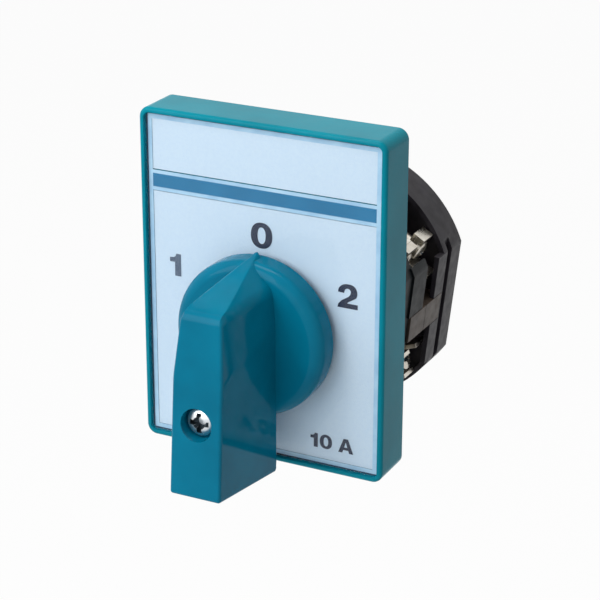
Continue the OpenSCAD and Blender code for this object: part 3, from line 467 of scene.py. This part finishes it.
def screwTree():  # one pan-head screw on every point, its head facing along the point's aim
    tree = bpy.data.node_groups.new("panHeadScrews", "GeometryNodeTree")
    tree.interface.new_socket("Points", in_out="INPUT", socket_type="NodeSocketGeometry")
    for name in screwInputs:
        tree.interface.new_socket(name, in_out="INPUT", socket_type="NodeSocketFloat")
    for name in ("Material", "Recess Painted Shade"):
        tree.interface.new_socket(name, in_out="INPUT", socket_type="NodeSocketMaterial")
    tree.interface.new_socket("Screws", in_out="OUTPUT", socket_type="NodeSocketGeometry")
    entry = addNode(tree, "NodeGroupInput")
    given = entry.outputs

    def scaled(value, factor):
        return addNode(tree, "ShaderNodeMath", {"operation": "MULTIPLY"}, {0: value, 1: factor}).outputs[0]

    def vector(x=0.0, y=0.0, z=0.0):
        return addNode(tree, "ShaderNodeCombineXYZ", sockets={"X": x, "Y": y, "Z": z}).outputs[0]

    def moved(mesh, offset):
        return addNode(tree, "GeometryNodeTransform", sockets={"Geometry": mesh, "Translation": offset}).outputs[0]

    headRadius = scaled(given["Head Diameter"], 0.5)
    barrel = addNode(tree, "GeometryNodeMeshCylinder", sockets={
        "Vertices": meshing["headSides"], "Radius": headRadius, "Depth": given["Head Height"]})
    barrel = moved(barrel.outputs["Mesh"], vector(z=scaled(given["Head Height"], 0.5)))
    ball = addNode(tree, "GeometryNodeMeshUVSphere", sockets={
        "Segments": meshing["headSides"], "Rings": meshing["headRings"], "Radius": 1.0})
    domeRadius = scaled(given["Head Diameter"], screwShares["dome"])
    dome = addNode(tree, "GeometryNodeTransform", sockets={
        "Geometry": ball.outputs["Mesh"],
        "Scale": vector(domeRadius, domeRadius, given["Head Height"])})
    blank = addNode(tree, "GeometryNodeMeshBoolean", {"operation": "INTERSECT", "solver": "EXACT"})
    tree.links.new(barrel, blank.inputs["Mesh 2"])
    tree.links.new(dome.outputs[0], blank.inputs["Mesh 2"])
    cut = addNode(tree, "GeometryNodeMeshBoolean", {"operation": "DIFFERENCE", "solver": "EXACT"})
    tree.links.new(blank.outputs["Mesh"], cut.inputs["Mesh 1"])
    top = vector(z=given["Head Height"])
    doubleDepth = scaled(given["Recess Depth"], 2.0)
    for size in (vector(given["Recess Length"], given["Recess Width"], doubleDepth),
                 vector(given["Recess Width"], given["Recess Length"], doubleDepth)):
        arm = addNode(tree, "GeometryNodeMeshCube", sockets={"Size": size})
        tree.links.new(moved(arm.outputs["Mesh"], top), cut.inputs["Mesh 2"])
    middle = addNode(tree, "GeometryNodeMeshCone", sockets={
        "Vertices": meshing["pocketSides"],
        "Radius Top": scaled(given["Recess Length"], screwShares["pocketTop"]),
        "Radius Bottom": scaled(given["Recess Length"], screwShares["pocketBottom"]),
        "Depth": scaled(given["Recess Depth"], screwShares["pocketDepth"])})
    low = addNode(tree, "ShaderNodeMath", {"operation": "SUBTRACT"}, {
        0: given["Head Height"], 1: scaled(given["Recess Depth"], screwShares["pocketMiddle"])})
    tree.links.new(moved(middle.outputs["Mesh"], vector(z=low.outputs[0])), cut.inputs["Mesh 2"])
    shank = addNode(tree, "GeometryNodeMeshCylinder", sockets={
        "Vertices": meshing["shankSides"], "Radius": scaled(given["Shank Diameter"], 0.5),
        "Depth": given["Shank Length"]})
    shank = moved(shank.outputs["Mesh"], vector(z=scaled(given["Shank Length"], screwShares["shankMiddle"])))
    whole = addNode(tree, "GeometryNodeJoinGeometry")
    spot = addNode(tree, "GeometryNodeInputPosition")  # faces inside the recess are marked for the painted shade
    split = addNode(tree, "ShaderNodeSeparateXYZ", sockets={"Vector": spot.outputs[0]})
    flat = addNode(tree, "ShaderNodeVectorMath", {"operation": "LENGTH"}, {
        0: vector(split.outputs["X"], split.outputs["Y"])})
    near = addNode(tree, "FunctionNodeCompare", {"operation": "LESS_THAN"}, {
        "A": flat.outputs["Value"], "B": scaled(given["Recess Length"], screwShares["markReach"])})
    under = addNode(tree, "FunctionNodeCompare", {"operation": "LESS_THAN"}, {
        "A": split.outputs["Z"], "B": scaled(given["Head Height"], screwShares["markHigh"])})
    over = addNode(tree, "FunctionNodeCompare", {"operation": "GREATER_THAN"}, {
        "A": split.outputs["Z"], "B": scaled(given["Head Height"], screwShares["markLow"])})
    both = addNode(tree, "FunctionNodeBooleanMath", {"operation": "AND"}, {
        0: near.outputs[0], 1: under.outputs[0]})
    inside = addNode(tree, "FunctionNodeBooleanMath", {"operation": "AND"}, {
        0: both.outputs[0], 1: over.outputs[0]})
    marked = addNode(tree, "GeometryNodeStoreNamedAttribute", {"data_type": "BOOLEAN", "domain": "FACE"}, {
        "Geometry": cut.outputs["Mesh"], "Name": "recess", "Value": inside.outputs[0]})
    tree.links.new(marked.outputs[0], whole.inputs[0])
    tree.links.new(shank, whole.inputs[0])
    aim = addNode(tree, "GeometryNodeInputNamedAttribute", {"data_type": "FLOAT_VECTOR"}, {"Name": "aim"})
    turn = addNode(tree, "FunctionNodeAlignRotationToVector", {"axis": "Z"}, {"Vector": aim.outputs["Attribute"]})
    spots = addNode(tree, "GeometryNodeInstanceOnPoints", sockets={
        "Points": given["Points"], "Instance": whole.outputs[0], "Rotation": turn.outputs["Rotation"]})
    real = addNode(tree, "GeometryNodeRealizeInstances", sockets={"Geometry": spots.outputs["Instances"]})
    coated = addNode(tree, "GeometryNodeSetMaterial", sockets={
        "Geometry": real.outputs[0], "Material": given["Material"]})
    # the marked recess faces get the painted shade material
    recess = addNode(tree, "GeometryNodeInputNamedAttribute", {"data_type": "BOOLEAN"}, {"Name": "recess"})
    coated = addNode(tree, "GeometryNodeSetMaterial", sockets={
        "Geometry": coated.outputs[0], "Selection": recess.outputs["Attribute"],
        "Material": given["Recess Painted Shade"]})
    addNode(tree, "NodeGroupOutput", sockets={"Screws": coated.outputs[0]})
    return tree


# spots are pairs of a seat point and the direction that the head faces
def makeScrews(name, spots, sizes, tree, body, replaced, material=nickel):
    mesh = bpy.data.meshes.new(name)
    mesh.from_pydata([point for point, aim in spots], [], [])
    aims = mesh.attributes.new("aim", "FLOAT_VECTOR", "POINT")
    aims.data.foreach_set("vector", [v for point, aim in spots for v in aim])
    piece = newPiece(name, mesh, material)
    maker = piece.modifiers.new("screws", "NODES")
    maker.node_group = tree
    for item in tree.interface.items_tree:
        if item.in_out == "INPUT" and item.name in screwInputs:
            maker[item.identifier] = sizes[screwInputs.index(item.name)] * mm
        if item.name == "Material":
            maker[item.identifier] = material
        if item.name == "Recess Painted Shade":
            maker[item.identifier] = paintedShadeRecess
    bake(piece)
    smoothFaces(piece, meshing["screwShade"])
    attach(piece, body)
    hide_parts(*replaced)


def leaned(x, y, z):  # a place of the contact body, which leans to the right of the dial
    a = math.radians(contactBody["lean"])
    return Vector((x * math.cos(a) + z * math.sin(a), y, -x * math.sin(a) + z * math.cos(a)))


contactBody = {"lean": 6.5, "terminal": (19.9, 14.7), "tilt": 25, "levels": (14.9, 23.6), "strip": 1.0,
               "tie": (8.6, 24.6), "tieSeat": 34.0}
screwSizes = {  # millimetres, in the order of screwInputs
    "handle": (6.2, 2.1, 3.0, 20.0, 4.5, 1.15, 1.7), "terminal": (5.0, 1.8, 3.0, 4.2, 3.2, 0.8, 0.9),
    "tie": (5.6, 2.2, 3.0, 28.9, 3.5, 0.85, 1.1),
}


def screwPlaces():
    tilt = math.radians(contactBody["tilt"])
    terminal, tie = [], []
    for sx in (-1, 1):
        for sz in (-1, 1):
            aim = leaned(sx * math.cos(tilt), 0, -sz * math.sin(tilt))
            x, z = contactBody["terminal"]
            for level in contactBody["levels"]:
                terminal.append((leaned(sx * x, level, sz * z) * mm + aim * contactBody["strip"] * mm, aim))
            x, z = contactBody["tie"]
            tie.append((leaned(sx * x, contactBody["tieSeat"], sz * z) * mm, Vector((0, 1, 0))))
    return terminal, tie


print("stage: screws")
screws = screwTree()
terminalPlaces, tiePlaces = screwPlaces()
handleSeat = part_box("handle_screw")[0].y + screwSizes["handle"][1] * mm
handlePlace = Vector((0, handleSeat, handleSizes["screwZ"] * mm))
makeScrews("screw.handle", [(handlePlace, Vector((0, -1, 0)))], screwSizes["handle"], screws, "handle_and_shaft",
           ["handle_screw"], zinc)
makeScrews("screws.terminals", terminalPlaces, screwSizes["terminal"], screws, "switch_body",
           ["terminal_screws_1", "terminal_screws_2"])
makeScrews("screws.tie", tiePlaces, screwSizes["tie"], screws, "switch_body", ["tie_screws"])

dial = {  # printing on the dial card: text, centre x, centre z, height in millimetres and its ink
    "zero": ("0", -0.1, 22.0, 5.9, denseInk), "one": ("1", -21.7, 11.5, 5.3, thinInk),
    "two": ("2", 20.8, 11.5, 5.6, denseInk), "rating": ("10 A", 17.2, -24.4, 3.4, denseInk),
    "front": -10.08, "thick": 0.04,
}


def bow(cx, cy, rx, ry, start, end, count, power=2.0):  # part of an oval, squarer as power grows
    points = []
    for i in range(count + 1):
        a = math.radians(start + (end - start) * i / count)
        c, d = math.cos(a), math.sin(a)
        u, v = (math.copysign(abs(k) ** (2 / power), k) for k in (c, d))
        points.append((cx + rx * u, cy + ry * v))
    return points


figures = {  # outlines in figure heights, each with its advance width; a second loop is a hole
    "0": (0.93, [bow(0.445, 0.5, 0.445, 0.505, 0, 360, 47, 2.25), bow(0.445, 0.5, 0.17, 0.325, 0, 360, 47, 2.25)]),
    "1": (0.70, [[(0.26, 0), (0.55, 0), (0.55, 1), (0.33, 1), (0.30, 0.9), (0.21, 0.83), (0.02, 0.81),
                  (0.02, 0.62), (0.26, 0.62)]]),
    "2": (0.95, [[(0.03, 0), (0.89, 0), (0.89, 0.2), (0.43, 0.2), (0.5, 0.27)]
                 + bow(0.56, 0.66, 0.31, 0.34, -35, 90, 14)
                 + bow(0.45, 0.66, 0.40, 0.34, 90, 184, 12) + [(0.31, 0.62), (0.32, 0.7)]
                 + bow(0.46, 0.69, 0.135, 0.13, 165, 0, 12)
                 + [(0.57, 0.58), (0.5, 0.49), (0.2, 0.3), (0.06, 0.14)]]),
    "A": (1.08, [[(0, 0), (0.29, 0), (0.355, 0.2), (0.725, 0.2), (0.79, 0), (1.08, 0), (0.70, 1), (0.38, 1)],
                 [(0.42, 0.39), (0.54, 0.78), (0.66, 0.39)]]),
    " ": (0.42, []),
}


def printedText(name, text, x, z, height, ink):  # bold figures as a thin layer of ink
    width = sum(figures[c][0] for c in text)
    form = bmesh.new()
    start = -width / 2
    for c in text:
        advance, loops = figures[c]
        flat = [[Vector((start + u, v - 0.5, 0)) for u, v in loop] for loop in loops]
        corners = [p for loop in flat for p in loop]
        if corners:
            verts = [form.verts.new((x * mm + p.x * height * mm, dial["front"] * mm, z * mm + p.y * height * mm))
                     for p in corners]
            for tri in tessellate_polygon(flat):
                form.faces.new([verts[i] for i in tri])
        start += advance
    bmesh.ops.remove_doubles(form, verts=form.verts, dist=meshing["inkMerge"] * mm)
    bmesh.ops.recalc_face_normals(form, faces=form.faces)
    grown = bmesh.ops.extrude_face_region(form, geom=form.faces[:])
    for v in grown["geom"]:
        if isinstance(v, bmesh.types.BMVert):
            v.co.y += dial["thick"] * mm
    piece = newPiece(name, meshFrom(form, name), ink)
    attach(piece, "switch_body")


print("stage: dial")
for word in ("zero", "one", "two", "rating"):
    printedText("figure." + word, *dial[word])


def slabPiece(name, low, high, material):  # a thin plate between two corners, in millimetres
    form = bmesh.new()
    bmesh.ops.create_cube(form, size=1)
    low, high = Vector(low), Vector(high)
    for v in form.verts:
        v.co = Vector(((low[i] + high[i]) / 2 + v.co[i] * (high[i] - low[i])) * mm for i in range(3))
    piece = newPiece(name, meshFrom(form, name), material)
    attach(piece, "switch_body")


windowTrim = {  # millimetres: the bar between the cards, the milky border round them, and a dark strip of painted shadow outside that where the window meets the rim
    "bar": ((-27.3, -10.13, 29.35), (27.3, -10.10, 32.45)),
    "halfInner": 27.3, "borderWide": 1.0, "ringWide": 1.4, "cardLow": -28.7, "cardHigh": 45.1,
    "back": -10.12, "front": -10.10, "lines": {"dial.line.high": (32.45, 33.25), "dial.line.low": (28.5, 29.35)},
}
w = windowTrim
slabPiece("dial.bar", w["bar"][0], w["bar"][1], barBlue)
for name, (base, top) in w["lines"].items():
    slabPiece(name, (-w["halfInner"], w["back"], base), (w["halfInner"], w["front"], top), frosted)
rings = (("border", 0, w["borderWide"], frosted), ("paintedShadow", w["borderWide"], w["ringWide"], seamShadow))
for kind, inner, outer, material in rings:
    for side in (-1, 1):
        ends = sorted((side * (w["halfInner"] + inner), side * (w["halfInner"] + outer)))
        hand = "left" if side < 0 else "right"
        slabPiece("window." + kind + "." + hand, (ends[0], w["back"], w["cardLow"] - outer),
                  (ends[1], w["front"], w["cardHigh"] + outer), material)
    wide = w["halfInner"] + inner
    slabPiece("window." + kind + ".low", (-wide, w["back"], w["cardLow"] - outer),
              (wide, w["front"], w["cardLow"] - inner), material)
    slabPiece("window." + kind + ".high", (-wide, w["back"], w["cardHigh"] + inner),
              (wide, w["front"], w["cardHigh"] + outer), material)

print("stage: floor, light and camera")
room = {"floorDrop": 0.3, "floorSize": 4.0, "floorColour": "#f2f3f4", "worldLevel": 0.31, "floorWhite": 0.95}


def paleFloor(name, colour, share):  # pale matt floor, lifted towards white for the eye and for reflections
    material = bpy.data.materials.new(name)
    material.use_nodes = True
    tree = material.node_tree
    tree.nodes.clear()
    path = addNode(tree, "ShaderNodeLightPath")
    seen = addNode(tree, "ShaderNodeMath", {"operation": "MAXIMUM"}, {
        0: path.outputs["Is Camera Ray"], 1: path.outputs["Is Transmission Ray"]})
    shown = addNode(tree, "ShaderNodeMath", {"operation": "MAXIMUM"}, {
        0: seen.outputs[0], 1: path.outputs["Is Glossy Ray"]})
    lift = addNode(tree, "ShaderNodeMath", {"operation": "MULTIPLY"}, {0: shown.outputs[0], 1: share})
    matt = addNode(tree, "ShaderNodeBsdfDiffuse", sockets={"Color": linear(colour)})
    white = addNode(tree, "ShaderNodeEmission", sockets={"Color": (1, 1, 1, 1), "Strength": 1.0})
    mix = addNode(tree, "ShaderNodeMixShader", sockets={
        0: lift.outputs[0], 1: matt.outputs[0], 2: white.outputs[0]})
    addNode(tree, "ShaderNodeOutputMaterial", sockets={"Surface": mix.outputs[0]})
    return material


def makeFloor():
    half = room["floorSize"] / 2
    z = cadLow.z - room["floorDrop"]
    mesh = bpy.data.meshes.new("floor")
    mesh.from_pydata([(-half, -half, z), (half, -half, z), (half, half, z), (-half, half, z)], [], [(0, 1, 2, 3)])
    floor = newPiece("floor", mesh, paleFloor("paleFloor", room["floorColour"], room["floorWhite"]))


def makeWorld():  # white to the camera, to gloss and through glass, and a plainer level as light
    world = bpy.data.worlds.new("paleRoom")
    bpy.context.scene.world = world
    world.use_nodes = True
    tree = world.node_tree
    tree.nodes.clear()
    path = addNode(tree, "ShaderNodeLightPath")
    some = addNode(tree, "ShaderNodeMath", {"operation": "MAXIMUM"}, {
        0: path.outputs["Is Camera Ray"], 1: path.outputs["Is Transmission Ray"]})
    seen = addNode(tree, "ShaderNodeMath", {"operation": "MAXIMUM"}, {
        0: some.outputs[0], 1: path.outputs["Is Glossy Ray"]})
    level = addNode(tree, "ShaderNodeMapRange", sockets={
        "Value": seen.outputs[0], "To Min": room["worldLevel"], "To Max": 1.0})
    shade = addNode(tree, "ShaderNodeBackground", sockets={
        "Color": (1, 1, 1, 1), "Strength": level.outputs["Result"]})
    addNode(tree, "ShaderNodeOutputWorld", sockets={"Surface": shade.outputs[0]})


lamps = {  # place, aim, size, power and colour; millimetres and watts. The glint is small, for points of light
    "softLeft": ((-350, -640, 430), (0, -10, 8), 760, 6.1, "#fbfdff"),
    "softTop": ((-60, 60, 700), (0, 0, 8), 360, 2.9, "#fffcf2"),
    "frontFill": ((120, -800, 260), (0, 0, 8), 460, 0.6, "#fbfdff"),
    "glint": ((-260, -420, 560), (0, -10, 8), 40, 0.45, "#ffffff"),
}


def makeLamps():
    for name, (where, aim, size, power, tint) in lamps.items():
        data = bpy.data.lights.new(name, "AREA")
        data.shape = "SQUARE"
        data.size = size * mm
        data.energy = power
        data.color = linear(tint)[:3]
        lamp = bpy.data.objects.new(name, data)
        lamp.location = place(*where)
        lamp.rotation_euler = (place(*aim) - lamp.location).to_track_quat("-Z", "Y").to_euler()
        bpy.context.scene.collection.objects.link(lamp)


viewpoint = {"place": (196.4, -385.5, 176.3), "yaw": 26.5, "pitch": 21.79, "roll": 0.16, "lens": 123.84,
             "sensor": 36, "nearest": 10}


def makeCamera():
    yaw, pitch = math.radians(viewpoint["yaw"]), math.radians(viewpoint["pitch"])
    ahead = Vector((-math.sin(yaw) * math.cos(pitch), math.cos(yaw) * math.cos(pitch), -math.sin(pitch)))
    data = bpy.data.cameras.new("camera")
    data.lens = viewpoint["lens"]
    data.sensor_width = viewpoint["sensor"]
    data.clip_start = viewpoint["nearest"] * mm
    camera = bpy.data.objects.new("camera", data)
    roll = Matrix.Rotation(math.radians(viewpoint["roll"]), 4, "Z")
    camera.matrix_world = Matrix.Translation(place(*viewpoint["place"])) @ (
        ahead.to_track_quat("-Z", "Y").to_matrix().to_4x4() @ roll)
    bpy.context.scene.collection.objects.link(camera)
    bpy.context.scene.camera = camera


makeFloor()
makeWorld()
makeLamps()
makeCamera()
bpy.context.scene.view_settings.view_transform = "Standard"

print("stage: done")
